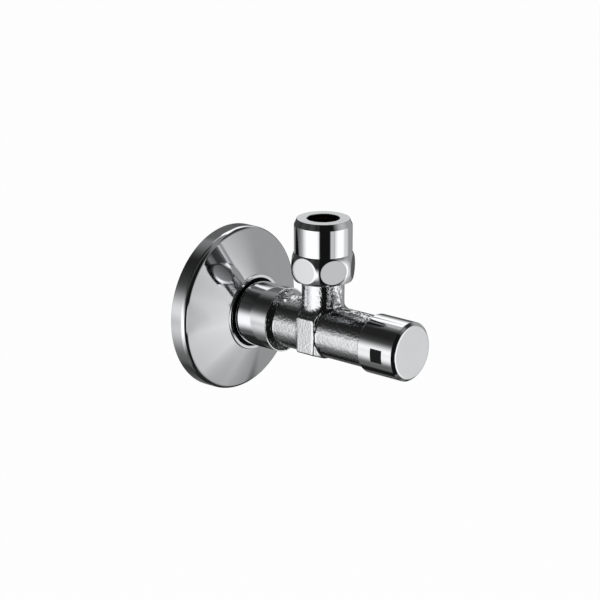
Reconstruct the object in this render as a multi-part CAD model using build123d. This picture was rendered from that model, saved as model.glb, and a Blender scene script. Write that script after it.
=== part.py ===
from build123d import *
from math import sqrt
import os

# Wall-mounted angle valve: threaded shank, sliding rosette, cast body, compression outlet pointing up,
# and a knob that turns a non-rising spindle, which screws a washered piston off its seat.
# Millimetres. The valve's axis runs along Y through the origin, +Z is up, and the wall is the plane y = 0.
# Distances along the axis ("at" and "end" values) are measured from the wall towards the knob.

# Clearances
running_gap = 0.05          # radial, between pieces that move on each other
thread_gap = 0.03           # radial, between a plain thread and its nut
fit_gap = 0.03              # radial, between pieces fixed in each other
seat_gap = 0.02             # between a seal and the face it closes on

# Inlet shank and cast body
thread_radius = 10.48       # G1/2, and the smooth shank that continues it
inlet_reach = 11.0          # thread behind the wall plane
inlet_chamfer = 1.0
thread_end = 0.5
seal_groove_width = 2.2
seal_groove_depth = 1.25
seal_recess = 0.35          # seal ring below the thread's crests
shank_end = 25.4
shank_edge = 0.25
shoulder_length = 1.55
flats_rise = 0.62           # spanner flats, cast around the outlet's root, over the housing
flats_length = 7.4
flats_bevel = 0.6
flats_corner = 3.6
flats_top_rise = 0.12
flats_shoulder = 3.1
roof_inset = 1.37           # the roof of the flats is narrower than the branch by this, each side
cast_blend = 0.7

# Outlet branch, square to the axis
outlet_at = 40.8
branch_radius = 6.77
spigot_lip = 0.78           # flat end of the G3/8 spigot
spigot_start = 17.4
spigot_length = 9.5
spigot_chamfer = 0.6
port_radius = 4.0
socket_radius = 5.12        # takes the 10 mm tube
socket_floor = 19.2
mouth_depth = 1.78          # 45 degree mouth for the olive

# Waterway and seat
inlet_bore = 5.5
seat_bore = 4.4
seat_width = 0.8
seat_rise = 0.8
seat_setback = 2.8          # from the seat to the near side of the outlet's port
throat_length = 2.0
port_margin = 0.4           # from the far side of the port to the bonnet

# Headwork
housing_wall = 1.48
chamber_step = 0.3
bonnet_wall = 1.42
skirt_length = 2.0
skirt_gap = 0.15
flange_inset = 0.13
flange_flats_inset = 0.65
flange_thickness = 1.2
gasket_thickness = 0.5
neck_length = 3.6
neck_step = 1.3             # from the bonnet's bore to the spindle's neck
thrust_washer_thickness = 0.5
spindle_flange_thickness = 1.9
stem_step = 2.15            # from the bonnet's bore to the lifting thread
stem_chamfer = 0.4
stem_spare = 0.45
drive_inset = 0.6145        # from the neck to the corners of the knob's square
drive_length = 5.85
circlip_thickness = 0.55
circlip_depth = 0.75
circlip_width = 1.9
circlip_gap = 2.2
o_ring_section = 1.04
o_ring_land = 0.4

# Piston and washer
washer_thickness = 2.8
washer_margin = 1.1         # from the washer's edge to the chamber's wall
piston_wall = 0.5
piston_head_length = 1.6
piston_waist_radius = 4.2
piston_guide_setback = 0.6
piston_nose = 1.2
piston_floor = 1.0
piston_lift = 3.75          # two and a half turns of a 1.5 mm lead
travel_spare = 1.5          # from the open piston to the spindle's flange
lug_width = 3.0
lug_length = 1.2
lug_height = 0.8
lug_setback = 0.3
slot_spare = 0.15
cup_depth = 1.4
retainer_radius = 3.2
retainer_thickness = 0.6
small_screw_radius = 1.25
small_screw_depth = 5.0
small_screw_spare = 0.5
small_screw_head_radius = 2.4
small_screw_head_height = 1.4
slot_width = 0.8
slot_depth = 0.6

# Knob
knob_radius = 9.43
knob_wall = 0.78
knob_length = 14.6
knob_overlap = 0.5          # how far the cap reaches over the housing's end
knob_gap = 0.27             # radial, between the cap and the housing's end
knob_face = 1.0
knob_chamfer = 0.92
knob_dome = 0.2
knob_lip = 0.15
window_size = 4.45
window_at = 7.53            # middle of the windows, from the cap's open end
window_angle = 183.2        # first window, from +X towards +Z
window_count = 2
window_gap = 0.1
lug_recess = 0.2
carrier_ring = 1.4
carrier_hub_wall = 0.45     # hub over the spindle's neck
carrier_web = 1.5
carrier_ribs = 6
carrier_rib = 1.0
carrier_setback = 0.35      # from the circlip's groove to the carrier
rib_setback = 0.8
finger_slot = 0.8
knob_screw_radius = 1.45
knob_screw_depth = 6.0
knob_screw_spare = 0.5
knob_screw_head_radius = 2.8
knob_screw_head_height = 2.0

# Rosette
rosette_radius = 27.0
rosette_rim = 5.54          # where the rim meets the cone, before rounding
rosette_round = 1.0
rosette_sheet = 0.8
hub_wall = 0.6
hub_end = 12.35
hub_step = 0.45
lip_round = 0.12
hub_length = 3.75
grip_width = 1.09
grip_length = 2.2
grip_setback = 1.15         # from the hub's lip to the ring

# Compression nut and olive
nut_start = 16.7
nut_length = 19.84
nut_flats_rise = 0.28       # hexagon's flats over the sleeve
nut_bulge = 1.34            # barrel of the hexagon over the plain sleeve
nut_sleeve_wall = 0.89
nut_hexagon_length = 9.0
nut_chamfer_length = 1.95
nut_chamfer_depth = 0.87
nut_hole_edge = 0.3
nut_turn = 0.9              # first flat, from +X towards +Y
nut_cone_lead = 0.4
tube_hole_gap = 0.05
olive_thickness = 1.4
olive_band = 2.5
olive_cone = 1.05


def turned(points, rounds=()):
    """Revolve a closed (radius, height) outline about Z, rounding the corners listed as (corner, radius)."""
    section = make_face(Polyline(*points, close=True))
    for (radius, height), size in rounds:
        corner = section.vertices().sort_by_distance((radius, height))[0]
        section = fillet(corner, size)
    return revolve(Plane.XZ * section, Axis.Z)


def ring(inner, outer, start, end):
    """Plain ring between two radii, from start to end along Z."""
    return turned([(inner, start), (outer, start), (outer, end), (inner, end)])


def prism(section, start, end):
    """Straight prism of a sketch, from start to end along Z."""
    return Pos(0, 0, start) * extrude(section, end - start)


def on_axis(piece):
    """Lay a piece made along +Z on the valve's axis, pointing away from the wall."""
    return Rot(90, 0, 0) * piece


def on_outlet(piece):
    """Stand a piece made along +Z on the outlet's axis."""
    return Pos(0, -outlet_at, 0) * piece


def save(node, piece):
    """Write one piece of the valve to its own file."""
    export_step(piece, f"parts/{node}.step")


os.makedirs("parts", exist_ok=True)

# Radii from the knob to the cast wall, and inwards
knob_inner = knob_radius - knob_wall
cast_radius = knob_inner - knob_gap
bonnet_bore_radius = cast_radius - housing_wall
chamber_radius = bonnet_bore_radius - chamber_step
skirt_radius = chamber_radius - skirt_gap
bonnet_radius = bonnet_bore_radius - thread_gap
guide_radius = bonnet_radius - bonnet_wall
spindle_neck_radius = guide_radius - neck_step
lift_stem_radius = guide_radius - stem_step
drive_square = sqrt(2) * (spindle_neck_radius - drive_inset)
carrier_hub_radius = spindle_neck_radius + carrier_hub_wall
flange_radius = cast_radius - flange_inset
flange_flats = 2 * (flange_radius - flange_flats_inset)
neck_bore = spindle_neck_radius + running_gap
seat_rim = seat_bore + seat_width
washer_radius = chamber_radius - washer_margin
groove_width = o_ring_section + 2 * fit_gap

# Places along the axis, from the outlet back to the seat and forward to the knob
seat_at = outlet_at - port_radius - seat_setback
washer_front = seat_at + seat_gap
washer_back = washer_front + washer_thickness
piston_bore_floor = washer_back + small_screw_depth + piston_floor
lift_stem_rear = piston_bore_floor + piston_lift + stem_spare
bonnet_rear = outlet_at + port_radius + port_margin
bonnet_bore_start = bonnet_rear + skirt_length
lug_rear = bonnet_rear + lug_setback
slot_end = lug_rear + lug_length + piston_lift + slot_spare
piston_ring_at = slot_end + o_ring_land + groove_width / 2
piston_front = piston_ring_at + groove_width / 2 + piston_nose
spindle_flange_rear = piston_front + piston_lift + travel_spare
spindle_flange_front = spindle_flange_rear + spindle_flange_thickness
washer_rear = spindle_flange_front + seat_gap
thrust_shoulder = washer_rear + thrust_washer_thickness
flange_end = thrust_shoulder + neck_length
flange_start = flange_end - flange_thickness
housing_end = flange_start - gasket_thickness
clip_start = flange_end + running_gap
clip_groove_end = clip_start + circlip_thickness + fit_gap
carrier_start = clip_groove_end + carrier_setback
neck_end = carrier_start - running_gap
drive_end = neck_end + drive_length
knob_start = housing_end - knob_overlap
knob_end = knob_start + knob_length

# Cast body: turned shank, neck and housing in one line, spanner flats around the outlet's root
groove_end = thread_end + seal_groove_width
groove_radius = thread_radius - seal_groove_depth
shank = turned([
    (0, -inlet_reach),
    (thread_radius - inlet_chamfer, -inlet_reach),
    (thread_radius, -inlet_reach + inlet_chamfer),
    (thread_radius, thread_end),
    (groove_radius, thread_end),
    (groove_radius, groove_end),
    (thread_radius, groove_end),
    (thread_radius, shank_end - shank_edge),
    (thread_radius - shank_edge, shank_end),
    (cast_radius, shank_end + shoulder_length),
    (cast_radius, housing_end),
    (0, housing_end),
])
half_flats = cast_radius + flats_rise
flats_top = cast_radius + flats_top_rise
side_top = flats_top - flats_shoulder
roof_half = branch_radius - roof_inset
flats_outline = Polyline(
    (half_flats, -half_flats + flats_corner),
    (half_flats, side_top),
    (roof_half, flats_top),
    (-roof_half, flats_top),
    (-half_flats, side_top),
    (-half_flats, -half_flats + flats_corner),
    (-half_flats + flats_corner, -half_flats),
    (half_flats - flats_corner, -half_flats),
    close=True,
)
flats_start = outlet_at - flats_length / 2
flats = prism(make_face(flats_outline), flats_start, flats_start + flats_length)
flats_ends = flats.faces().filter_by(Axis.Z).edges()
flats = chamfer(flats_ends, flats_bevel)
branch = turned([(0, 0), (branch_radius, 0), (branch_radius, spigot_start), (0, spigot_start)])
casting = on_axis(shank + flats) + on_outlet(branch)


def on_branch_root(edge):
    """True for the edges where the branch grows out of the housing, the neck and the flats."""
    middle = edge @ 0.5
    reach = sqrt(middle.X ** 2 + (middle.Y + outlet_at) ** 2)
    return abs(reach - branch_radius) < 0.001 and 0 < middle.Z < spigot_start - 1


casting = fillet([edge for edge in casting.edges() if on_branch_root(edge)], cast_blend)
spigot_radius = socket_radius + mouth_depth + spigot_lip + spigot_chamfer
spigot_end = spigot_start + spigot_length
spigot = turned([
    (0, spigot_start),
    (spigot_radius - spigot_chamfer, spigot_start),
    (spigot_radius, spigot_start + spigot_chamfer),
    (spigot_radius, spigot_end - spigot_chamfer),
    (spigot_radius - spigot_chamfer, spigot_end),
    (0, spigot_end),
])
casting += on_outlet(spigot)

throat_at = seat_at - seat_rise - throat_length
waterway = turned([
    (0, -inlet_reach),
    (inlet_bore, -inlet_reach),
    (inlet_bore, throat_at),
    (seat_bore, throat_at + inlet_bore - seat_bore),
    (seat_bore, seat_at),
    (seat_rim, seat_at),
    (seat_rim, seat_at - seat_rise),
    (chamber_radius, seat_at - seat_rise),
    (chamber_radius, bonnet_bore_start),
    (bonnet_bore_radius, bonnet_bore_start),
    (bonnet_bore_radius, housing_end),
    (0, housing_end),
])
outlet_way = turned([
    (0, 0),
    (port_radius, 0),
    (port_radius, socket_floor),
    (socket_radius, socket_floor),
    (socket_radius, spigot_end - mouth_depth),
    (socket_radius + mouth_depth, spigot_end),
    (0, spigot_end),
])
save("valve_body", casting - on_axis(waterway) - on_outlet(outlet_way))

# Ring in the groove at the end of the inlet thread
seal_inner = groove_radius + fit_gap
seal_outer = thread_radius - seal_recess
seal_round = (seal_outer - seal_inner) / 3
seal_start = thread_end + fit_gap
seal_end = groove_end - fit_gap
seal_ring = turned(
    [(seal_inner, seal_start), (seal_outer, seal_start), (seal_outer, seal_end), (seal_inner, seal_end)],
    [((seal_outer, seal_start), seal_round), ((seal_outer, seal_end), seal_round)],
)
save("inlet_seal_ring", on_axis(seal_ring))

# Rosette: drawn sheet with a straight rim, a conical face and a hub turned back around the shank
hub_inner = thread_radius + running_gap + grip_width + fit_gap
hub_radius = hub_inner + hub_wall
hub_back = hub_end - hub_length
cone_run = rosette_radius - hub_radius
cone_rise = hub_end - hub_step - rosette_rim
sheet_drop = rosette_sheet * sqrt(cone_run ** 2 + cone_rise ** 2) / cone_run
rim_inner = rosette_radius - rosette_sheet
rim_under = rosette_rim + cone_rise * rosette_sheet / cone_run - sheet_drop
rosette = turned(
    [
        (rosette_radius, 0),
        (rosette_radius, rosette_rim),
        (hub_radius, hub_end - hub_step),
        (hub_radius, hub_end),
        (hub_inner, hub_end),
        (hub_inner, hub_back),
        (hub_radius, hub_back),
        (hub_radius, hub_end - hub_step - sheet_drop),
        (rim_inner, rim_under),
        (rim_inner, 0),
    ],
    [
        ((rosette_radius, rosette_rim), rosette_round),
        ((hub_radius, hub_end), lip_round),
        ((hub_inner, hub_end), lip_round),
    ],
)
save("wall_rosette", on_axis(rosette))

# Black ring in the hub, which grips the shank
grip_inner = thread_radius + running_gap
grip_outer = grip_inner + grip_width
grip_front = hub_end - grip_setback
grip_back = grip_front - grip_length
grip = turned(
    [(grip_inner, grip_back), (grip_outer, grip_back), (grip_outer, grip_front), (grip_inner, grip_front)],
    [((grip_inner, grip_front), grip_width / 3)],
)
save("rosette_grip_ring", on_axis(grip))

# Compression nut: hexagon with barrel-turned corners, plain sleeve above, cone inside for the olive
nut_end = nut_start + nut_length
nut_thread_radius = spigot_radius + running_gap
nut_sleeve_radius = nut_thread_radius + nut_sleeve_wall
nut_flats = 2 * (nut_sleeve_radius + nut_flats_rise)
nut_sleeve_start = nut_start + nut_hexagon_length
tube_hole_radius = socket_radius + tube_hole_gap
olive_inner = socket_radius + fit_gap
olive_radius = olive_inner + olive_thickness
olive_low = spigot_end - mouth_depth + olive_radius + running_gap - socket_radius
olive_high = olive_low + olive_band
nut_cone_start = olive_high - nut_cone_lead
nut_cone_radius = olive_radius + running_gap + nut_cone_lead
barrel = Polyline(
    (nut_sleeve_radius, nut_sleeve_start),
    (nut_sleeve_radius, nut_end - nut_chamfer_length),
    (nut_sleeve_radius - nut_chamfer_depth, nut_end),
    (0, nut_end),
    (0, nut_start),
    (nut_sleeve_radius, nut_start),
)
bulge = ThreePointArc(
    (nut_sleeve_radius, nut_start),
    (nut_sleeve_radius + nut_bulge, nut_start + nut_hexagon_length / 2),
    (nut_sleeve_radius, nut_sleeve_start),
)
nut_blank = revolve(Plane.XZ * make_face(barrel + bulge), Axis.Z)
hexagon = Rot(0, 0, nut_turn) * RegularPolygon(nut_flats / 2, 6, major_radius=False, rotation=30)
nut_blank = nut_blank & prism(hexagon, nut_start, nut_end)
nut_inside = turned([
    (0, nut_start),
    (nut_thread_radius, nut_start),
    (nut_thread_radius, nut_cone_start),
    (nut_cone_radius, nut_cone_start),
    (tube_hole_radius, nut_cone_start + nut_cone_radius - tube_hole_radius),
    (tube_hole_radius, nut_end - nut_hole_edge),
    (tube_hole_radius + nut_hole_edge, nut_end),
    (0, nut_end),
])
save("compression_nut", on_outlet(nut_blank - nut_inside))

# Olive, coned at both ends, between the spigot's mouth and the nut's cone
olive = turned([
    (olive_inner, olive_low - olive_cone),
    (olive_radius - olive_cone, olive_low - olive_cone),
    (olive_radius, olive_low),
    (olive_radius, olive_high),
    (olive_radius - olive_cone, olive_high + olive_cone),
    (olive_inner, olive_high + olive_cone),
])
save("compression_ring", on_outlet(olive))

# Bonnet: brass insert screwed into the housing, slotted at the back to guide the piston
bonnet = turned([
    (guide_radius, bonnet_rear),
    (skirt_radius, bonnet_rear),
    (skirt_radius, bonnet_bore_start + slot_spare),
    (bonnet_radius, bonnet_bore_start + slot_spare),
    (bonnet_radius, flange_end),
    (neck_bore, flange_end),
    (neck_bore, thrust_shoulder),
    (guide_radius, thrust_shoulder),
])
flange = ring(neck_bore, flange_radius, flange_start, flange_end)
flange = flange & prism(RegularPolygon(flange_flats / 2, 6, major_radius=False), flange_start, flange_end)
guide_slot = Rectangle(4 * bonnet_radius, lug_width + 2 * running_gap)
bonnet = bonnet + flange - prism(guide_slot, bonnet_rear, slot_end)
save("bonnet", on_axis(bonnet))
save("bonnet_gasket", on_axis(ring(bonnet_radius + fit_gap, flange_flats / 2, housing_end, flange_start)))

# Spindle: lifting thread at the back, flange against the thrust washer, sealed neck, square for the knob
journal_radius = guide_radius - running_gap
spindle = turned([
    (0, lift_stem_rear),
    (lift_stem_radius - stem_chamfer, lift_stem_rear),
    (lift_stem_radius, lift_stem_rear + stem_chamfer),
    (lift_stem_radius, spindle_flange_rear),
    (journal_radius, spindle_flange_rear),
    (journal_radius, spindle_flange_front),
    (spindle_neck_radius, spindle_flange_front),
    (spindle_neck_radius, clip_start),
    (spindle_neck_radius - circlip_depth, clip_start),
    (spindle_neck_radius - circlip_depth, clip_groove_end),
    (spindle_neck_radius, clip_groove_end),
    (spindle_neck_radius, neck_end),
    (0, neck_end),
])
spindle += prism(Rectangle(drive_square, drive_square), neck_end, drive_end)
spindle -= prism(Circle(knob_screw_radius), drive_end - knob_screw_depth, drive_end)
neck_groove = neck_bore - o_ring_section - 2 * fit_gap
o_ring_places = {
    "spindle_inner_o_ring": thrust_shoulder + o_ring_land + groove_width / 2,
    "spindle_outer_o_ring": flange_end - o_ring_land - groove_width / 2,
}
for node, place in o_ring_places.items():
    spindle -= ring(neck_groove, spindle_neck_radius, place - groove_width / 2, place + groove_width / 2)
    o_ring = Torus(neck_bore - fit_gap - o_ring_section / 2, o_ring_section / 2)
    save(node, on_axis(Pos(0, 0, place) * o_ring))
save("spindle", on_axis(spindle))
thrust_washer = ring(neck_bore, journal_radius, washer_rear, thrust_shoulder)
save("thrust_washer", on_axis(thrust_washer))
clip_inner = spindle_neck_radius - circlip_depth + fit_gap
circlip_radius = clip_inner + circlip_width
circlip = ring(clip_inner, circlip_radius, clip_start, clip_start + circlip_thickness)
clip_opening = Pos(0, -circlip_radius) * Rectangle(circlip_gap, 2 * circlip_radius)
circlip -= prism(clip_opening, clip_start, clip_start + circlip_thickness)
save("spindle_circlip", on_axis(circlip))

# Piston: cup for the washer, waist across the outlet's port, guided barrel with lugs and a lifting thread
cup_inner = washer_radius + fit_gap
cup_outer = cup_inner + piston_wall
barrel_radius = guide_radius - running_gap
piston_guide_rear = bonnet_rear - piston_guide_setback
piston = turned([
    (0, washer_back),
    (cup_inner, washer_back),
    (cup_inner, washer_back - cup_depth),
    (cup_outer, washer_back - cup_depth),
    (cup_outer, washer_back + piston_head_length),
    (piston_waist_radius, washer_back + piston_head_length),
    (piston_waist_radius, piston_guide_rear - barrel_radius + piston_waist_radius),
    (barrel_radius, piston_guide_rear),
    (barrel_radius, piston_front),
    (0, piston_front),
])
lug_radius = barrel_radius + lug_height
piston += prism(Rectangle(2 * lug_radius, lug_width), lug_rear, lug_rear + lug_length)
piston -= prism(Circle(lift_stem_radius + running_gap), piston_bore_floor, piston_front)
piston -= prism(Circle(small_screw_radius), washer_back, washer_back + small_screw_depth)
piston_groove = guide_radius - o_ring_section - 2 * fit_gap
piston_groove_rear = piston_ring_at - groove_width / 2
piston -= ring(piston_groove, barrel_radius, piston_groove_rear, piston_groove_rear + groove_width)
save("piston", on_axis(piston))
piston_o_ring = Torus(guide_radius - fit_gap - o_ring_section / 2, o_ring_section / 2)
save("piston_o_ring", on_axis(Pos(0, 0, piston_ring_at) * piston_o_ring))

# Valve washer on the seat, with the small washer and screw that hold it in the piston's cup
screw_hole = small_screw_radius + fit_gap
save("valve_washer", on_axis(ring(screw_hole, washer_radius, washer_front, washer_back)))
retainer_front = washer_front - retainer_thickness
save("retaining_washer", on_axis(ring(screw_hole, retainer_radius, retainer_front, washer_front)))
head_front = retainer_front - small_screw_head_height
shank_tip = washer_back + small_screw_depth - small_screw_spare
washer_screw = turned(
    [
        (0, head_front),
        (small_screw_head_radius, head_front),
        (small_screw_head_radius, retainer_front),
        (small_screw_radius - fit_gap, retainer_front),
        (small_screw_radius - fit_gap, shank_tip),
        (0, shank_tip),
    ],
    [((small_screw_head_radius, head_front), small_screw_head_height / 2)],
)
driver_slot = Rectangle(3 * small_screw_head_radius, slot_width)
washer_screw -= prism(driver_slot, head_front, head_front + slot_depth)
save("valve_washer_screw", on_axis(washer_screw))

# Knob cap: chromed cup with a chamfered rim, a shallow domed end and square windows for the carrier's lugs
knob_edge = knob_end - knob_dome
knob_floor = knob_edge - knob_face
cap_sides = Polyline(
    (0, knob_end),
    (0, knob_floor),
    (knob_inner, knob_floor),
    (knob_inner, knob_start),
    (knob_radius - knob_lip, knob_start),
    (knob_radius, knob_start + knob_lip),
    (knob_radius, knob_edge),
)
cap_dome = ThreePointArc((knob_radius, knob_edge), (knob_radius / 2, knob_end - knob_dome / 4), (0, knob_end))
cap = revolve(Plane.XZ * make_face(cap_sides + cap_dome), Axis.Z)
cap_rim = cap.edges().sort_by_distance((knob_radius, 0, knob_edge))[0]
cap = chamfer(cap_rim, knob_chamfer)
window_middle = knob_start + window_at
window_turns = [window_angle + step * 360 / window_count for step in range(window_count)]
for turn in window_turns:
    window = Pos(knob_radius, 0, window_middle) * Box(4 * knob_wall, window_size, window_size)
    cap -= Rot(0, 0, turn) * window
save("knob_sleeve", on_axis(cap))

# Carrier: black moulding in the cap, with a ribbed hub on the spindle's square and two snap fingers
carrier_radius = knob_inner - fit_gap
ring_inner = carrier_radius - carrier_ring
web_start = drive_end + fit_gap
web_end = web_start + carrier_web
lug_size = window_size - 2 * window_gap
lug_top = knob_radius - lug_recess
slit_offset = (window_size + finger_slot) / 2
slit_reach = (ring_inner + carrier_radius) / 2
carrier = ring(ring_inner, carrier_radius, carrier_start, knob_floor)
for turn in window_turns:
    lug = Pos((slit_reach + lug_top) / 2, 0, window_middle) * Box(lug_top - slit_reach, lug_size, lug_size)
    carrier += Rot(0, 0, turn) * lug
    for side in (-1, 1):
        slit = Pos(slit_reach, side * slit_offset) * Rectangle(2 * carrier_ring, finger_slot)
        carrier -= Rot(0, 0, turn) * prism(slit, carrier_start - rib_setback, web_start)
carrier += ring(knob_screw_radius + fit_gap, slit_reach, web_start, web_end)
rib_reach = (carrier_hub_radius + ring_inner) / 2
rib_size = ring_inner - carrier_hub_radius + carrier_ring
for step in range(carrier_ribs):
    turn = window_angle + (step + 0.5) * 360 / carrier_ribs
    rib = Pos(rib_reach, 0) * Rectangle(rib_size, carrier_rib)
    carrier += Rot(0, 0, turn) * prism(rib, carrier_start + rib_setback, web_start)
socket_square = drive_square + 2 * fit_gap
hub = Circle(carrier_hub_radius) - Rectangle(socket_square, socket_square)
carrier += prism(hub, carrier_start, web_start)
save("knob_carrier", on_axis(carrier))

# Screw that holds the carrier on the spindle
screw_tip = drive_end - knob_screw_depth + knob_screw_spare
screw_top = web_end + knob_screw_head_height
carrier_screw = turned(
    [
        (0, screw_tip),
        (knob_screw_radius - fit_gap, screw_tip),
        (knob_screw_radius - fit_gap, web_end),
        (knob_screw_head_radius, web_end),
        (knob_screw_head_radius, screw_top),
        (0, screw_top),
    ],
    [((knob_screw_head_radius, screw_top), knob_screw_head_height / 2)],
)
for turn in (0, 90):
    recess = Rot(0, 0, turn) * Rectangle(1.4 * knob_screw_head_radius, slot_width)
    carrier_screw -= prism(recess, screw_top - 2 * slot_depth, screw_top)
save("carrier_screw", on_axis(carrier_screw))
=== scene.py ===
import math
import bmesh
import bpy
import numpy as np
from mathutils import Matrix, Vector


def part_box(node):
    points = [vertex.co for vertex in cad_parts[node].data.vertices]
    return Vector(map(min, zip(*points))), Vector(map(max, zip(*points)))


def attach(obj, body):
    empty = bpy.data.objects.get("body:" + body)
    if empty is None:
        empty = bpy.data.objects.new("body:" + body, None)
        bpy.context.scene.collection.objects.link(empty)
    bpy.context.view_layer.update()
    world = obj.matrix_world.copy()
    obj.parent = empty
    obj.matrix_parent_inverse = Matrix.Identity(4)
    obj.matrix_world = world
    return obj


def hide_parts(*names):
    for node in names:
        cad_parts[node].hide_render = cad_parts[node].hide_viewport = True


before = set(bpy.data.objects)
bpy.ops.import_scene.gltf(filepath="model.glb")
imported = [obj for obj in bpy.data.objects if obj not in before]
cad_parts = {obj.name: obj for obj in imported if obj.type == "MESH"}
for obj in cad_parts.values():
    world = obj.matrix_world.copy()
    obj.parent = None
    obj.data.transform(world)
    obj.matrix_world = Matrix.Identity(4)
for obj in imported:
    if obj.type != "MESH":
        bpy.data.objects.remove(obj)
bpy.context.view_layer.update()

# Valve body: one brass casting, chromed all over. The inlet shank and the outlet spigot are turned and
# threaded, the neck, the spanner flats and the housing keep the skin of the mould and its parting line.
# Lengths are in millimetres, along the valve from the wall, along the outlet from the valve's axis.
outlet_at = 40.8
shank_radius = 10.48
inlet_end = -11.0
inlet_pitch = 1.814
inlet_thread_end = 0.5
inlet_thread_depth = 1.16
inlet_run_out = 0.9
groove_end = 2.7
groove_radius = 9.23
shank_end = 25.4
cast_radius = 8.38
inlet_bore = 5.5
shank_recess = 9.2
shank_recess_depth = 0.6


def rounded(corners, steps=6):
    """Closed outline of (radius, place, rounding) corners, each rounding an arc between support points."""
    support = 0.15
    outline = []
    for number, (radius, place, size) in enumerate(corners):
        corner = np.array((radius, place), float)
        if size == 0:
            outline.append(corner)
            continue
        back = np.array(corners[number - 1][:2]) - corner
        ahead = np.array(corners[(number + 1) % len(corners)][:2]) - corner
        back = back / np.linalg.norm(back)
        ahead = ahead / np.linalg.norm(ahead)
        half = math.acos(np.clip(back @ ahead, -1, 1)) / 2
        reach = size / math.tan(half)
        middle = corner + (back + ahead) / np.linalg.norm(back + ahead) * size / math.sin(half)
        start = corner + back * reach - middle
        end = corner + ahead * reach - middle
        sweep = math.atan2(start[0] * end[1] - start[1] * end[0], start @ end)
        outline.append(corner + back * (reach + support * size))
        for step in range(steps + 1):
            turn = sweep * step / steps
            outline.append(middle + (start[0] * math.cos(turn) - start[1] * math.sin(turn),
                                     start[0] * math.sin(turn) + start[1] * math.cos(turn)))
        outline.append(corner + ahead * (reach + support * size))
    return np.array(outline)


def on_axis(radius, place, angle):
    """Points around the valve's axis, angles from +X towards +Z."""
    return np.stack(np.broadcast_arrays(radius * np.cos(angle), -place, radius * np.sin(angle)), -1)


def on_outlet(radius, place, angle):
    """Points around the outlet's axis, angles from +X towards +Y."""
    x, y = radius * np.cos(angle), radius * np.sin(angle) - outlet_at
    return np.stack(np.broadcast_arrays(x, y, place), -1)


def rings_joined(rings, left_out=None):
    """Points and quads of a closed skin: each ring is joined to the next and the last to the first."""
    rows, around = rings.shape[:2]
    number = np.arange(rows * around).reshape(rows, around)
    below = np.roll(number, -1, 0)
    quads = np.stack([number, np.roll(number, -1, 1), np.roll(below, -1, 1), below], -1)
    if left_out is not None:
        quads = quads[~left_out]
    return rings.reshape(-1, 3), quads.reshape(-1, 4)


def turned(outline, lay, segments=192, cut=None):
    """Skin of a turned piece: its outline, revolved, and where asked cut back by place and angle."""
    angle = np.linspace(0, 2 * np.pi, segments, endpoint=False)[None, :]
    radius = outline[:, :1] + 0 * angle
    place = outline[:, 1:]
    if cut:
        radius = cut(radius, place, angle)
    return rings_joined(lay(radius, place, angle))


def piece(name, skins, material_of, node, body, crease=38):
    """One visible piece from its skins, each with its material, standing for a CAD node."""
    mesh = bpy.data.meshes.new(name)
    points = np.concatenate([skin[0] for skin in skins]) * 0.001
    faces = []
    finish = []
    start = 0
    for number, (skin_points, quads) in enumerate(skins):
        faces += (quads + start).tolist()
        finish += [number] * len(quads)
        start += len(skin_points)
    mesh.from_pydata(points.tolist(), [], faces)
    for material in material_of:
        mesh.materials.append(material)
    mesh.polygons.foreach_set("material_index", finish)
    work = bmesh.new()
    work.from_mesh(mesh)
    bmesh.ops.remove_doubles(work, verts=work.verts, dist=1e-7)
    bmesh.ops.recalc_face_normals(work, faces=work.faces)
    work.to_mesh(mesh)
    work.free()
    mesh.shade_smooth()
    mesh.set_sharp_from_angle(angle=math.radians(crease))
    made = bpy.data.objects.new(name, mesh)
    bpy.context.scene.collection.objects.link(made)
    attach(made, body)
    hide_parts(node)
    return made


def thread_depth(place, angle, pitch):
    """How deep a single-start thread is cut, from 0 on its crest to 1 at its root, both rounded."""
    share = (place / pitch - angle / (2 * np.pi)) % 1
    flat = 0.1
    ramp = np.clip((1 - np.abs(2 * share - 1) - flat) / (1 - 2 * flat), 0, 1)
    return ramp * ramp * (3 - 2 * ramp) * 0.5 + ramp * 0.5


def inlet_thread(radius, place, angle):
    """G1/2 thread, running out just before the groove."""
    fade = np.clip((inlet_thread_end - 0.1 - place) / inlet_run_out, 0, 1)
    cut = shank_radius - inlet_thread_depth * fade * thread_depth(place, angle, inlet_pitch)
    threaded = (place < inlet_thread_end) & (radius > inlet_bore + 1)
    return np.where(threaded, np.minimum(radius, cut), radius)


thread_rows = [(shank_radius, place, 0)
               for place in np.arange(inlet_end + 1.0, inlet_thread_end, inlet_pitch / 12)]
shank_outline = rounded([
    (inlet_bore + 0.5, inlet_end, 0),
    (shank_radius - 1.0, inlet_end, 0),
    (shank_radius - 0.5, inlet_end + 0.5, 0),
    *thread_rows,
    (shank_radius, inlet_thread_end, 0),
    (groove_radius, inlet_thread_end, 0),
    (groove_radius, groove_end, 0),
    (shank_radius, groove_end, 0.15),
    (shank_radius, shank_end, 0.07),
    (shank_recess, shank_end, 0),
    (shank_recess, shank_end - shank_recess_depth, 0),
    (inlet_bore, shank_end - shank_recess_depth, 0),
    (inlet_bore, inlet_end + 0.5, 0),
], 5)
shank = turned(shank_outline, on_axis, 192, inlet_thread)

spigot_radius = 8.28
spigot_start = 17.4
spigot_end = 26.9
spigot_pitch = 1.337
spigot_thread_depth = 0.86
spigot_chamfer = 0.6
spigot_foot = spigot_start - 0.2
socket_radius = 5.12
socket_floor = 19.2
mouth_radius = 6.9
mouth_depth = 1.78
port_radius = 4.0


def spigot_thread(radius, place, angle):
    """G3/8 thread, on the outside only."""
    cut = spigot_radius - spigot_thread_depth * thread_depth(place, angle, spigot_pitch)
    return np.where(radius > mouth_radius + 0.1, np.minimum(radius, cut), radius)


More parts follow.
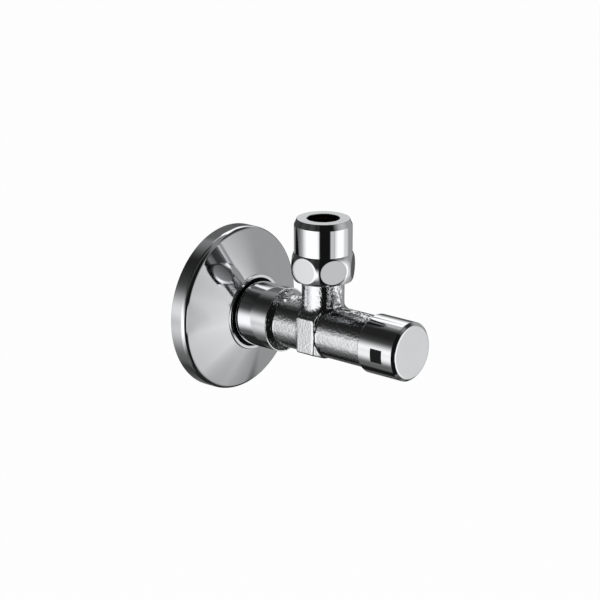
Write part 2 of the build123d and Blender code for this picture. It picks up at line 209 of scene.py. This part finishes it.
spigot_rows = [(spigot_radius, place, 0)
               for place in np.arange(spigot_start + 0.7, spigot_end - 0.65, spigot_pitch / 10)]
spigot = turned(rounded([
    (6.0, spigot_foot, 0),
    (6.6, spigot_foot, 0),
    (6.6, spigot_start, 0),
    (spigot_radius - spigot_chamfer, spigot_start, 0),
    *spigot_rows,
    (spigot_radius - spigot_chamfer, spigot_end, 0),
    (mouth_radius, spigot_end, 0),
    (socket_radius, spigot_end - mouth_depth, 0),
    (socket_radius, socket_floor, 0),
    (port_radius, socket_floor, 0),
    (port_radius, spigot_foot, 0),
], 4), on_outlet, 144, spigot_thread)


def lumps(points, size):
    """Smooth random field from -1 to 1 with lumps of about the given size."""
    cells = points @ np.array(((0.80, -0.36, 0.48), (0.60, 0.48, -0.64), (0.0, 0.80, 0.60))) / size
    low = np.floor(cells).astype(np.int64)
    share = cells - low
    share = share * share * (3 - 2 * share)
    total = 0
    for corner in ((a, b, c) for a in (0, 1) for b in (0, 1) for c in (0, 1)):
        key = (low + corner) @ np.array((73856093, 19349663, 83492791))
        key = (key ^ (key >> 13)) * 1274126177 & 0x7FFFFFFF
        value = ((key ^ (key >> 16)) & 0xFFFF) / 32767.5 - 1
        total = total + value * np.prod(np.where(corner, share, 1 - share), -1)
    return total


def softer_of(first, second, blend, sign):
    """Union (sign 1) or common part (sign -1) of two fields, with a fillet of about the given size."""
    gap = np.clip(0.5 + sign * 0.5 * (second - first) / blend, 0, 1)
    return second + (first - second) * gap - sign * blend * gap * (1 - gap)


shoulder_end = 26.95
shoulder_rise = 1.15
shoulder_scale = 0.65
housing_end = 62.87
flats_half = 9.0
flats_reach = 3.7
flats_roof = 8.5
flats_floor = 8.6
branch_radius = 6.77
seat_at = 34.0
seat_bore = 4.4
seat_rim = 5.2
throat_end = 31.2
chamber_start = 33.2
chamber_radius = 6.6
bonnet_bore = 6.9
bonnet_bore_start = 47.2


def casting_field(points, skin=True):
    """Signed distance to the casting, negative in the brass, with the skin of the mould where asked."""
    x, place, z = points[..., 0], points[..., 1], points[..., 2]
    reach = np.hypot(x, z)
    around = np.hypot(x, place - outlet_at)
    side = np.abs(x)
    slope = np.clip(shoulder_end - place, 0, shoulder_end - shank_end) * shoulder_rise
    body = (reach - cast_radius - slope) * np.where(slope > 0, shoulder_scale, 1.0)
    body = np.maximum(body, np.maximum(shank_end - 0.5 - place, place - housing_end))
    ends = np.abs(place - outlet_at) - flats_reach
    upper_chamfer = (3.1 * (side - flats_half) + 3.6 * (z - 5.4)) / 4.75
    lower_slope = 0.37 * side - 0.93 * z - 8.95
    sides = softer_of(side - flats_half, upper_chamfer, 0.5, -1)
    sides = softer_of(sides, lower_slope, 0.5, -1)
    sides = softer_of(sides, np.maximum(z - flats_roof, -flats_floor - z), 0.4, -1)
    block = softer_of(sides, ends, 0.9, -1)
    branch = np.maximum(around - branch_radius, np.maximum(-z, z - spigot_start - 0.2))
    solid = softer_of(body, block, 0.7, 1)
    solid = softer_of(solid, branch, 1.3, 1)
    if skin:
        # The seam stands proud where the mould's halves met, and chips lie beside it, most on the neck's top.
        seam = np.exp(-(x / 0.5) ** 2)
        near = np.exp(-(x / (1.2 + 1.5 * np.exp(-((place - 28.0) / 3.5) ** 2))) ** 2)
        near = near * np.clip((61.8 - place) / 1.5, 0, 1) * np.clip(0.5 + z / 10, 0.12, 1)
        on_pad = np.clip((side - 8.3) / 0.5, 0, 1)
        coarse = lumps(points, 1.1)
        grain = 0.012 * lumps(points, 2.6) + 0.009 * coarse + 0.007 * lumps(points, 0.6)
        shoulder = np.exp(-((place - 26.2) / 0.8) ** 2)
        rise = grain * (1 - 0.7 * on_pad) + seam * (0.10 + 0.09 * coarse)
        chipped = 0.65 * (0.33 - np.abs(lumps(points, 1.6))) + 0.1 * lumps(points, 0.9)
        chipped = chipped * (1 + 0.8 * np.exp(-((place - 28.0) / 2.5) ** 2))
        rise = rise + near * chipped + shoulder * 0.04 * coarse
        solid = solid - rise
    throat = np.maximum(reach - inlet_bore, place - throat_end)
    throat = np.minimum(throat, np.maximum(reach - seat_bore, place - seat_at - 0.1))
    chamber = np.maximum(reach - chamber_radius, chamber_start - place)
    past_seat = np.maximum(place - seat_at, 0)
    chamber = np.maximum(chamber, np.minimum(reach, 9) * -1 + seat_rim - past_seat * 40)
    bore = np.maximum(reach - bonnet_bore, bonnet_bore_start - place)
    port = np.maximum(around - port_radius, -z)
    hollow = np.minimum(np.minimum(throat, chamber), np.minimum(bore, port))
    return np.maximum(solid, -hollow)


def surface_of(field, low, high, step):
    """Skin of a field's zero surface on a grid, with its points then drawn onto the true surface."""
    ticks = [np.arange(a, b + step, step) for a, b in zip(low, high)]
    value = field(np.stack(np.meshgrid(*ticks, indexing="ij"), -1), False)
    inside = value < 0
    size = np.array(value.shape) - 1
    count = np.zeros(size, np.int8)
    for a, b, c in ((a, b, c) for a in (0, 1) for b in (0, 1) for c in (0, 1)):
        count += inside[a:size[0] + a, b:size[1] + b, c:size[2] + c]
    crossed = (count > 0) & (count < 8)
    cells = np.argwhere(crossed)
    number = np.full(size, -1)
    number[crossed] = np.arange(len(cells))
    total = np.zeros((len(cells), 3))
    hits = np.zeros((len(cells), 1))
    faces = []
    for axis in range(3):
        first, second = (axis + 1) % 3, (axis + 2) % 3
        for a, b in ((0, 0), (0, 1), (1, 0), (1, 1)):
            start = cells.copy()
            start[:, first] += a
            start[:, second] += b
            end = start.copy()
            end[:, axis] += 1
            here = value[tuple(start.T)]
            there = value[tuple(end.T)]
            cut = (here < 0) != (there < 0)
            spot = start.astype(float)
            spot[:, axis] += np.where(cut, here / np.where(cut, here - there, 1), 0)
            total[cut] += spot[cut]
            hits[cut] += 1
        lower = np.take(inside, range(size[axis]), axis)
        upper = np.take(inside, range(1, size[axis] + 1), axis)
        edges = np.argwhere(lower != upper)
        edges = edges[(edges[:, first] > 0) & (edges[:, second] > 0)]
        edges = edges[(edges[:, first] < size[first]) & (edges[:, second] < size[second])]
        quad = []
        for a, b in ((1, 1), (0, 1), (0, 0), (1, 0)):
            cell = edges.copy()
            cell[:, first] -= a
            cell[:, second] -= b
            quad.append(number[tuple(cell.T)])
        faces.append(np.stack(quad, -1))
    points = np.array(low) + step * total / hits
    probe = 0.02
    for turn in range(4):
        slope = np.stack([(field(points + move) - field(points - move)) / (2 * probe)
                          for move in np.eye(3) * probe], -1)
        shift = slope * (field(points) / np.maximum((slope ** 2).sum(-1), 0.05))[:, None]
        points = points - np.clip(shift, -0.5 * step, 0.5 * step)
    return points * (1, -1, 1), np.concatenate(faces)


casting = surface_of(casting_field, low=(-10.6, 24.5, -10.6), high=(10.6, 63.3, 18.0), step=0.3)


def linear(code):
    """Linear colour from an sRGB hex value."""
    parts = [int(code[i:i + 2], 16) / 255 for i in (1, 3, 5)]
    return (*[c / 12.92 if c <= 0.04045 else ((c + 0.055) / 1.055) ** 2.4 for c in parts], 1)


def add(tree, kind, inputs=(), **settings):
    """Add a node with its settings; its inputs are values or the sockets that feed them."""
    made = tree.nodes.new("ShaderNode" + kind)
    for name, value in settings.items():
        setattr(made, name, value)
    for name, value in dict(inputs).items():
        if isinstance(value, bpy.types.NodeSocket):
            tree.links.new(value, made.inputs[name])
        else:
            made.inputs[name].default_value = value
    return made


def new_material(name):
    """Empty material, its node tree and the object's own coordinates, in metres."""
    material = bpy.data.materials.new(name)
    material.use_nodes = True
    tree = material.node_tree
    tree.nodes.clear()
    return material, tree, add(tree, "TexCoord").outputs["Object"]


# Bright chrome over buffed brass: a clean mirror, with a faint haze where it was wiped and the slow waviness
# that buffing leaves.
polished_chrome, tree, place = new_material("polished_chrome_plate")
haze = add(tree, "TexNoise", {"Vector": place, "Scale": 1 / 0.006, "Detail": 4})
tone = add(tree, "Mix", {
    "Factor": haze.outputs["Fac"], "A": linear("#E8EAEC"), "B": linear("#F0F1F2"),
}, data_type="RGBA")
sheen = add(tree, "MapRange", {
    "Value": haze.outputs["Fac"], "From Min": 0.3, "From Max": 0.7, "To Min": 0.035, "To Max": 0.075,
})
wave = add(tree, "TexNoise", {"Vector": place, "Scale": 1 / 0.005, "Detail": 1})
bump = add(tree, "Bump", {"Height": wave.outputs["Fac"], "Strength": 1, "Distance": 0.000004})
plate = add(tree, "BsdfPrincipled", {
    "Base Color": tone.outputs["Result"], "Metallic": 1, "Roughness": sheen.outputs["Result"],
    "Normal": bump.outputs["Normal"],
})
add(tree, "OutputMaterial", {"Surface": plate.outputs["BSDF"]})

# Chrome over the skin of the mould: the plating follows every grain of it, so the mirror breaks up into
# small bright and dark flecks.
cast_chrome, tree, place = new_material("cast_chrome_plate")
flecks = add(tree, "TexNoise", {"Vector": place, "Scale": 1 / 0.0008, "Detail": 2, "Roughness": 0.5})
patch = add(tree, "TexNoise", {"Vector": place, "Scale": 1 / 0.004, "Detail": 2})
tone = add(tree, "Mix", {
    "Factor": patch.outputs["Fac"], "A": linear("#D6D8DA"), "B": linear("#E8E9EA"),
}, data_type="RGBA")
sheen = add(tree, "MapRange", {
    "Value": flecks.outputs["Fac"], "From Min": 0.3, "From Max": 0.7, "To Min": 0.04, "To Max": 0.11,
})
bump = add(tree, "Bump", {"Height": flecks.outputs["Fac"], "Strength": 1, "Distance": 0.00011})
plate = add(tree, "BsdfPrincipled", {
    "Base Color": tone.outputs["Result"], "Metallic": 1, "Roughness": sheen.outputs["Result"],
    "Normal": bump.outputs["Normal"],
})
add(tree, "OutputMaterial", {"Surface": plate.outputs["BSDF"]})

piece("valve_body_chromed", [shank, spigot, casting], [polished_chrome, polished_chrome, cast_chrome],
      "valve_body", "valve")

# Seal ring: moulded plastic ring snapped into the groove at the end of the inlet thread,
# which seals on the wall fitting. Its outer edges are rounded so that it slips into the fitting.
# Milky white plastic, half matt and faintly mottled.
seal_plastic, tree, place = new_material("moulded_sealing_plastic")
mottle = add(tree, "TexNoise", {"Vector": place, "Scale": 1 / 0.002, "Detail": 3})
tone = add(tree, "Mix", {
    "Factor": mottle.outputs["Fac"], "A": linear("#DCDAD2"), "B": linear("#ECEBE5"),
}, data_type="RGBA")
bump = add(tree, "Bump", {"Height": mottle.outputs["Fac"], "Strength": 1, "Distance": 0.00001})
plastic = add(tree, "BsdfPrincipled", {
    "Base Color": tone.outputs["Result"], "Roughness": 0.42, "IOR": 1.48,
    "Normal": bump.outputs["Normal"],
})
add(tree, "OutputMaterial", {"Surface": plastic.outputs["BSDF"]})
seal_inner, seal_outer = 9.26, 10.13
seal_start, seal_end = 0.53, 2.67
seal_ring = turned(rounded([
    (seal_inner, seal_start, 0),
    (seal_outer, seal_start, 0.29),
    (seal_outer, 1.35, 0.1),
    (9.95, 1.6, 0.1),
    (seal_outer, 1.85, 0.1),
    (seal_outer, seal_end, 0.29),
    (seal_inner, seal_end, 0),
], 5), on_axis, 160)
piece("inlet_seal_ring_moulded", [seal_ring], [seal_plastic], "inlet_seal_ring", "valve")

# Wall rosette: drawn from brass sheet and chromed, with a straight rim, a conical face
# and a hub turned back around the shank, its lip rolled round.
rosette_radius = 27.0
rim_inner = 26.2
rim_end = 5.54
hub_radius = 12.25
hub_inner = 11.65
hub_start = 8.6
hub_end = 12.35
lip_inner = 11.3
rosette = turned(rounded([
    (rosette_radius, 0.0, 0.2),
    (rosette_radius, rim_end, 1.8),
    (hub_radius, 11.9, 0.35),
    (hub_radius, hub_end, 0.1),
    (lip_inner, hub_end, 0.1),
    (lip_inner, 11.8, 0.1),
    (hub_inner, 11.5, 0),
    (hub_inner, hub_start, 0),
    (hub_radius, hub_start, 0),
    (hub_radius, 11.03, 0.2),
    (rim_inner, 5.01, 1.2),
    (rim_inner, 0.0, 0.2),
], 8), on_axis, 288)
piece("wall_rosette_drawn", [rosette], [polished_chrome], "wall_rosette", "rosette")

# Grip ring: black moulded ring pressed into the rosette's hub, whose soft inner lip
# holds the rosette against the wall by gripping the shank.
# Deep black plastic with a dull, uneven sheen. The fine grain of the mould is drawn coarser to show.
black_moulding, tree, place = new_material("black_moulded_plastic")
spark = add(tree, "TexNoise", {"Vector": place, "Scale": 1 / 0.0004, "Detail": 2})
cloud = add(tree, "TexNoise", {"Vector": place, "Scale": 1 / 0.005, "Detail": 3})
tone = add(tree, "Mix", {
    "Factor": cloud.outputs["Fac"], "A": linear("#060607"), "B": linear("#0E0E0F"),
}, data_type="RGBA")
sheen = add(tree, "MapRange", {
    "Value": cloud.outputs["Fac"], "From Min": 0.3, "From Max": 0.7, "To Min": 0.34, "To Max": 0.5,
})
bump = add(tree, "Bump", {"Height": spark.outputs["Fac"], "Strength": 1, "Distance": 0.000006})
plastic = add(tree, "BsdfPrincipled", {
    "Base Color": tone.outputs["Result"], "Roughness": sheen.outputs["Result"],
    "IOR": 1.52, "Specular IOR Level": 0.12, "Normal": bump.outputs["Normal"],
})
add(tree, "OutputMaterial", {"Surface": plastic.outputs["BSDF"]})
grip_inner, grip_outer = 10.53, 11.62
grip_start, grip_end = 9.0, 11.2
grip_ring = turned(rounded([
    (grip_inner, grip_start, 0.2),
    (grip_outer, grip_start, 0.1),
    (grip_outer, grip_end, 0.5),
    (grip_inner, grip_end, 0.5),
], 5), on_axis, 192)
piece("rosette_grip_ring_moulded", [grip_ring], [black_moulding],
      "rosette_grip_ring", "rosette")

# Olive: plain turned brass ring, coned at both ends, which the nut squeezes onto the tube.
# It shows only down the outlet's hole and when the nut is screwed up.
# Warm yellow brass, a soft gloss with patches of tarnish. The tool marks are drawn coarser to show.
turned_brass, tree, place = new_material("turned_bare_brass")
tarnish = add(tree, "TexNoise", {"Vector": place, "Scale": 1 / 0.004, "Detail": 4})
tone = add(tree, "Mix", {
    "Factor": tarnish.outputs["Fac"], "A": linear("#B98F45"), "B": linear("#D9B66C"),
}, data_type="RGBA")
sheen = add(tree, "MapRange", {
    "Value": tarnish.outputs["Fac"], "From Min": 0.3, "From Max": 0.7, "To Min": 0.2, "To Max": 0.36,
})
tool_marks = add(tree, "TexNoise", {"Vector": place, "Scale": 1 / 0.0003, "Detail": 2})
bump = add(tree, "Bump", {"Height": tool_marks.outputs["Fac"], "Strength": 1, "Distance": 0.000006})
metal = add(tree, "BsdfPrincipled", {
    "Base Color": tone.outputs["Result"], "Metallic": 1, "Roughness": sheen.outputs["Result"],
    "Normal": bump.outputs["Normal"],
})
add(tree, "OutputMaterial", {"Surface": metal.outputs["BSDF"]})
olive_low, olive_high = (corner.z * 1000 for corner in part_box("compression_ring"))
olive_bore, olive_edge, olive_radius = 5.15, 5.5, 6.55
olive_cone = 1.05
olive = turned(rounded([
    (olive_bore, olive_low, 0),
    (olive_edge, olive_low, 0.08),
    (olive_radius, olive_low + olive_cone, 0.3),
    (olive_radius, olive_high - olive_cone, 0.3),
    (olive_edge, olive_high, 0.08),
    (olive_bore, olive_high, 0),
], 5), on_outlet, 128)
piece("compression_ring_turned", [olive], [turned_brass], "compression_ring", "olive")

# Compression nut: turned from hexagon bar and chromed. The corners of the hexagon are turned to a barrel,
# so each flat ends in a round edge, and the upper half is a plain sleeve with a chamfered end.
nut_start = 16.7
nut_end = 36.54
sleeve_radius = 9.22
sleeve_start = 25.7
flat_distance = 9.5
barrel_middle = 21.2
barrel_arc = 8.226
barrel_radius = 10.56
barrel_edge = nut_start + 0.25
nut_bore = 8.33
nut_bore_end = 30.0
cone_radius = 6.99
cone_low, cone_high = 29.98, 31.8
end_radius = 8.35
end_chamfer_start = 34.59
tube_hole = 5.17
nut_turn = math.radians(0.9)


def sector_angles(half, sectors, turn, across, between):
    """Angles around a piece with like sectors, closer together within half of each sector's middle."""
    middle = np.linspace(-1, 1, across, endpoint=False)
    rest = np.linspace(0, 1, between, endpoint=False)
    one = np.concatenate([middle * half, half + rest * (2 * np.pi / sectors - 2 * half)])
    return np.concatenate([turn + 2 * np.pi * step / sectors + one for step in range(sectors)])


def barrel(place):
    """Radius of the barrel-turned corners."""
    return barrel_radius - barrel_arc + np.sqrt(barrel_arc ** 2 - (place - barrel_middle) ** 2)


least_half = math.radians(4.5)
flat_steps, corner_steps = 24, 18
first_turn = 0.16
edge_blend = 0.16
flat_reach = math.sqrt(barrel_arc ** 2 - (flat_distance - barrel_radius + barrel_arc) ** 2)
flat_end = flat_reach * math.cos(first_turn)
sweep = np.linspace(first_turn, math.pi - first_turn, 60)
barrel_rows = np.concatenate([
    np.linspace(barrel_edge, barrel_middle - flat_end, 8)[:-1],
    barrel_middle - flat_reach * np.cos(sweep),
    np.linspace(barrel_middle + flat_end, sleeve_start - 0.02, 8)[1:],
])
nut_rings = []
for place in barrel_rows:
    half = max(math.acos(min(1, flat_distance / barrel(place))), least_half)
    angle = sector_angles(half, 6, nut_turn, flat_steps, corner_steps)
    from_flat = (angle - nut_turn + math.pi / 6) % (math.pi / 3) - math.pi / 6
    radius = softer_of(barrel(place) + 0 * angle, flat_distance / np.cos(from_flat), edge_blend, 1)
    nut_rings.append(on_outlet(radius, place, angle))
plain_angle = sector_angles(least_half, 6, nut_turn, flat_steps, corner_steps)
nut_plain = rounded([
    (nut_bore, nut_bore_end, 0),
    (nut_bore, nut_start + 0.6, 0),
    (8.75, nut_start, 0.1),
    (barrel(nut_start + 0.2) - 0.1, nut_start, 0.15),
    (barrel(barrel_edge), barrel_edge, 0),
    (sleeve_radius, sleeve_start, 0),
    (sleeve_radius, end_chamfer_start, 0.12),
    (end_radius, nut_end, 0.12),
    (tube_hole + 0.13, nut_end, 0.04),
    (tube_hole, nut_end - 0.13, 0.04),
    (tube_hole, cone_high, 0),
    (cone_radius, cone_low, 0),
], 5)
lower = [on_outlet(radius, place, plain_angle) for radius, place in nut_plain
         if radius > 8.0 and place < nut_start + 0.9]
upper = [on_outlet(radius, place, plain_angle) for radius, place in nut_plain
         if place > sleeve_start - 0.1]
nut = rings_joined(np.array(upper[-1:] + upper[:1] + lower + nut_rings + upper[1:-1]))
piece("compression_nut_turned", [nut], [polished_chrome], "compression_nut", "nut", 32)

# Headwork: the brass bonnet, spindle and piston with their rings, washers and screws, closed in by the
# housing and the knob. They keep the CAD model's solids and get a finish of brass, rubber, steel or plastic.
# Matt black rubber with a grey bloom.
seal_rubber, tree, place = new_material("black_seal_rubber")
bloom = add(tree, "TexNoise", {"Vector": place, "Scale": 1 / 0.0015, "Detail": 4})
tone = add(tree, "Mix", {
    "Factor": bloom.outputs["Fac"], "A": linear("#0C0C0C"), "B": linear("#1C1C1C"),
}, data_type="RGBA")
bump = add(tree, "Bump", {"Height": bloom.outputs["Fac"], "Strength": 1, "Distance": 0.00001})
rubber = add(tree, "BsdfPrincipled", {
    "Base Color": tone.outputs["Result"], "Roughness": 0.62, "IOR": 1.52,
    "Normal": bump.outputs["Normal"],
})
add(tree, "OutputMaterial", {"Surface": rubber.outputs["BSDF"]})
# Grey steel with a soft, slightly cloudy gloss.
bright_steel, tree, place = new_material("bright_rolled_steel")
rolled = add(tree, "TexNoise", {"Vector": place, "Scale": 1 / 0.0008, "Detail": 4})
tone = add(tree, "Mix", {
    "Factor": rolled.outputs["Fac"], "A": linear("#A9ABAE"), "B": linear("#C3C5C8"),
}, data_type="RGBA")
sheen = add(tree, "MapRange", {
    "Value": rolled.outputs["Fac"], "From Min": 0.3, "From Max": 0.7, "To Min": 0.22, "To Max": 0.38,
})
bump = add(tree, "Bump", {"Height": rolled.outputs["Fac"], "Strength": 1, "Distance": 0.000006})
metal = add(tree, "BsdfPrincipled", {
    "Base Color": tone.outputs["Result"], "Metallic": 1, "Roughness": sheen.outputs["Result"],
    "Normal": bump.outputs["Normal"],
})
add(tree, "OutputMaterial", {"Surface": metal.outputs["BSDF"]})
inner_finish = {
    turned_brass: ("bonnet", "spindle", "piston"),
    seal_rubber: ("bonnet_gasket", "spindle_inner_o_ring", "spindle_outer_o_ring",
                  "piston_o_ring", "valve_washer"),
    bright_steel: ("spindle_circlip", "retaining_washer", "valve_washer_screw", "carrier_screw"),
    seal_plastic: ("thrust_washer",),
    black_moulding: ("knob_carrier",),
}
for finish, names in inner_finish.items():
    for name in names:
        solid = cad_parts[name].data
        solid.materials.clear()
        solid.materials.append(finish)

# Knob cap: drawn brass cup, chromed, with a nearly flat end and a chamfered rim. Two square windows
# take the snap lugs of the black carrier inside, which show in them.
knob_radius = 9.43
knob_inner = 8.65
knob_start, knob_end = sorted(-corner.y * 1000 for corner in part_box("knob_sleeve"))
window_half = 2.225
window_middle = knob_start + 7.53
window_angle = math.radians(183.2)
dome = 0.08
rim_chamfer = 1.05
end_wall = 1.0
windows = 2
window_steps, wall_steps = 16, 80
sector_steps = window_steps + wall_steps
knob_steps = windows * sector_steps
knob_outline = [
    (knob_radius, knob_start, 0.45),
    (knob_radius, window_middle - window_half, 0),
    (knob_radius, window_middle + window_half, 0),
    (knob_radius, knob_end - dome - rim_chamfer, 0.2),
    (knob_radius - rim_chamfer, knob_end - dome, 0.9),
]
knob_outline += [(radius, knob_end - dome * (radius / (knob_radius - rim_chamfer)) ** 2, 0)
                 for radius in np.linspace(7.8, 0, 12)]
knob_outline += [
    (0, knob_end - dome - end_wall, 0),
    (knob_inner, knob_end - dome - end_wall, 0.4),
    (knob_inner, window_middle + window_half, 0),
    (knob_inner, window_middle - window_half, 0),
    (knob_inner, knob_start, 0),
]
knob_rows = rounded(knob_outline, 10)
knob_angles = [sector_angles(math.asin(window_half / max(radius, knob_inner)), windows, window_angle,
                             window_steps, wall_steps)
               for radius, place in knob_rows]
knob_rings = np.array([on_axis(radius, place, angle)
                       for (radius, place), angle in zip(knob_rows, knob_angles)])
at_edge = np.abs(np.abs(knob_rows[:, 1] - window_middle) - window_half) < 1e-6
in_window = np.zeros(knob_rings.shape[:2], bool)
for row in np.flatnonzero(at_edge & np.roll(at_edge, -1)):
    for sector in range(windows):
        in_window[row, sector * sector_steps:sector * sector_steps + window_steps] = True
knob_points, knob_quads = rings_joined(knob_rings, in_window)
outer_low, outer_high, inner_high, inner_low = np.flatnonzero(at_edge)
reveals = []
for sector in range(windows):
    columns = [sector * sector_steps + step for step in range(window_steps + 1)]
    for left, right in zip(columns[:-1], columns[1:]):
        for outer, inner in ((outer_low, inner_low), (outer_high, inner_high)):
            reveals.append([outer * knob_steps + left, outer * knob_steps + right,
                            inner * knob_steps + right, inner * knob_steps + left])
    for column in (columns[0], columns[-1]):
        reveals.append([row * knob_steps + column for row in (outer_low, outer_high, inner_high, inner_low)])
cap = knob_points, np.concatenate([knob_quads, np.array(reveals)])
piece("knob_cap_drawn", [cap], [polished_chrome], "knob_sleeve", "knob", 32)

# Stage: pale floor well below the valve, white behind it, and a round studio tent that glows with painted
# light and dark patches, which only glossy surfaces see, so the chrome shows painted reflections. Lamps light
# what isn't metal.
floor_half = 4
floor_level = -0.62
floor_mesh = bpy.data.meshes.new("floor")
floor_corners = [(x * floor_half, y * floor_half, floor_level)
                 for x, y in ((-1, -1), (1, -1), (1, 1), (-1, 1))]
floor_mesh.from_pydata(floor_corners, [], [(0, 1, 2, 3)])
floor = bpy.data.objects.new("floor", floor_mesh)
bpy.context.scene.collection.objects.link(floor)
# Matt paint, lit so brightly that the eye sees plain white.
floor_paint, tree, place = new_material("pale_floor_paint")
grain = add(tree, "TexNoise", {"Vector": place, "Scale": 1 / 0.05, "Detail": 3})
tone = add(tree, "Mix", {
    "Factor": grain.outputs["Fac"], "A": linear("#F4F4F4"), "B": linear("#F8F8F8"),
}, data_type="RGBA")
paint = add(tree, "BsdfDiffuse", {"Color": tone.outputs["Result"]})
white = add(tree, "Emission", {"Color": linear("#FFFFFF"), "Strength": 1})
ray = add(tree, "LightPath")
seen = add(tree, "Math", {
    0: ray.outputs["Is Camera Ray"], 1: ray.outputs["Is Glossy Ray"],
}, operation="MAXIMUM")
seen = add(tree, "Math", {0: seen.outputs[0], 1: ray.outputs["Is Transmission Ray"]}, operation="MAXIMUM")
share = add(tree, "Math", {0: seen.outputs[0], 1: 0.97}, operation="MULTIPLY")
both = add(tree, "MixShader", {0: share.outputs[0], 1: paint.outputs["BSDF"], 2: white.outputs["Emission"]})
add(tree, "OutputMaterial", {"Surface": both.outputs["Shader"]})
floor_mesh.materials.append(floor_paint)

world = bpy.data.worlds.new("white_studio")
bpy.context.scene.world = world
world.use_nodes = True
tree = world.node_tree
tree.nodes.clear()
ray = add(tree, "LightPath")
seen = add(tree, "Math", {
    0: ray.outputs["Is Camera Ray"], 1: ray.outputs["Is Glossy Ray"],
}, operation="MAXIMUM")
seen = add(tree, "Math", {0: seen.outputs[0], 1: ray.outputs["Is Transmission Ray"]}, operation="MAXIMUM")
backdrop = add(tree, "Background", {"Color": linear("#FFFFFF"), "Strength": 1})
fill = add(tree, "Background", {"Color": linear("#FFFFFF"), "Strength": 0.45})
both = add(tree, "MixShader", {0: seen.outputs[0], 1: fill.outputs[0], 2: backdrop.outputs[0]})
add(tree, "OutputWorld", {"Surface": both.outputs["Shader"]})

target = Vector((0, -0.031187, 0.007743))
camera_azimuth = math.radians(-49.192)
camera_elevation = math.radians(17.099)
camera_back = Vector((math.sin(camera_azimuth) * math.cos(camera_elevation),
                      -math.cos(camera_azimuth) * math.cos(camera_elevation), math.sin(camera_elevation)))

tent_radius = 0.35

# The tent's painted glow patches, bright and dark: direction to the right of the camera and above the
# horizon, both in degrees, half width, half height, softness of the edge, and brightness of the glow.
tent_base_glow = 0.127
glow_patches = [
    (-15, 73, 170, 29, 3, 0.244),
    (154, 42, 28, 24, 4, 1.3),
    (176, 20, 6, 6, 3, 0.72),
    (177, 54, 20, 12, 6, 1.2),
    (205, 59, 12, 7, 6, 0.5),
    (88, -14, 43, 34, 45, 1.27),
    (130, 0, 38, 44, 39, 0.35),
    (100, -20, 11, 13, 12, 0.72),
    (116, 45, 36, 13, 14, 0.03),
    (170, -10, 18, 26, 7, 0.1),
    (-52, -14, 42, 24, 32, 1.3),
    (-95, -14, 20, 18, 44, 0.36),
    (-124, 10, 30, 20, 18, 0.055),
    (-85, 56, 44, 36, 45, 0.0188),
    (3, 38, 46, 40, 32, 0.0268),
    (15, -9, 29, 68, 6, 0.00763),
    (36, -15, 8, 10, 3, 0.606),
    (-141, -61, 23, 15, 18, 0.0101),
    (160, -57, 26, 14, 6, 0.015),
    (8, -89, 181, 23, 9, 0.0212),
]
tent_rows, tent_columns = 121, 240
rise = np.radians(np.linspace(-90, 90, tent_rows))[:, None]
turn = np.radians(np.arange(tent_columns) * 360 / tent_columns)[None, :]
level = np.full((tent_rows, tent_columns), tent_base_glow)
# Each patch paints its glow, bright or dark, into the tent's brightness with a soft edge.
for right, above, half_width, half_height, soft, shade in glow_patches:
    across = np.abs((np.degrees(turn) - right + 180) % 360 - 180) - half_width
    up = np.abs(np.degrees(rise) - above) - half_height
    cover = np.clip(0.5 - across / soft, 0, 1) * np.clip(0.5 - up / soft, 0, 1)
    cover = cover * cover * (3 - 2 * cover)
    level = level + (shade - level) * cover
heading = turn + camera_azimuth - math.pi / 2
tent_points = np.stack(np.broadcast_arrays(np.cos(rise) * np.cos(heading), np.cos(rise) * np.sin(heading),
                                           np.sin(rise)), -1) * tent_radius + np.array(target)
number = np.arange(tent_rows * tent_columns).reshape(tent_rows, tent_columns)
tent_faces = np.stack([number[:-1], np.roll(number[:-1], -1, 1), np.roll(number[1:], -1, 1), number[1:]], -1)
tent_mesh = bpy.data.meshes.new("studio_tent")
tent_mesh.from_pydata(tent_points.reshape(-1, 3).tolist(), [], tent_faces.reshape(-1, 4).tolist())
glow_values = tent_mesh.attributes.new("brightness", "FLOAT", "POINT")
glow_values.data.foreach_set("value", level.ravel().astype(np.float32))
tent = bpy.data.objects.new("studio_tent", tent_mesh)
bpy.context.scene.collection.objects.link(tent)
tent.visible_camera = False
tent.visible_diffuse = False
tent.visible_shadow = False
tent.visible_transmission = False
# Painted glow: the tent shines at each patch's painted brightness, and no lamp lights it. The chrome shows it
# as painted reflections in light and dark bands.
tent_glow_lining, tree, place = new_material("tent_painted_reflection_glow")
brightness = add(tree, "Attribute", attribute_name="brightness")
glow = add(tree, "Emission", {"Color": linear("#FFFFFF"), "Strength": brightness.outputs["Fac"]})
add(tree, "OutputMaterial", {"Surface": glow.outputs["Emission"]})
tent_mesh.materials.append(tent_glow_lining)

lamp_distance = 0.7
softboxes = (("key_softbox", -50, 50, 6, 0.5), ("fill_softbox", 80, 30, 3, 0.5))
for name, right, above, power, width in softboxes:
    lamp = bpy.data.lights.new(name, "AREA")
    lamp.energy = power
    lamp.size = width
    heading = math.radians(right) + camera_azimuth
    lift = math.radians(above)
    side = Vector((math.sin(heading) * math.cos(lift), -math.cos(heading) * math.cos(lift), math.sin(lift)))
    softbox = bpy.data.objects.new(name, lamp)
    softbox.location = target + side * lamp_distance
    softbox.rotation_mode = "QUATERNION"
    softbox.rotation_quaternion = (-side).to_track_quat("-Z", "Y")
    softbox.visible_glossy = False
    softbox.visible_camera = False
    bpy.context.scene.collection.objects.link(softbox)

# Camera: a long lens at the photograph's angle, a little above the valve and to the knob's left.
# Its place and lens come from the round edges that the photograph shows.
camera_distance = 0.80736
lens = bpy.data.cameras.new("camera")
lens.lens = 152.08
lens.sensor_width = 36
lens.clip_start = 0.01
lens.clip_end = 20
camera = bpy.data.objects.new("camera", lens)
camera.location = target + camera_back * camera_distance
camera.rotation_mode = "QUATERNION"
camera.rotation_quaternion = (-camera_back).to_track_quat("-Z", "Y")
bpy.context.scene.collection.objects.link(camera)
bpy.context.scene.camera = camera
bpy.context.scene.view_settings.view_transform = "Standard"
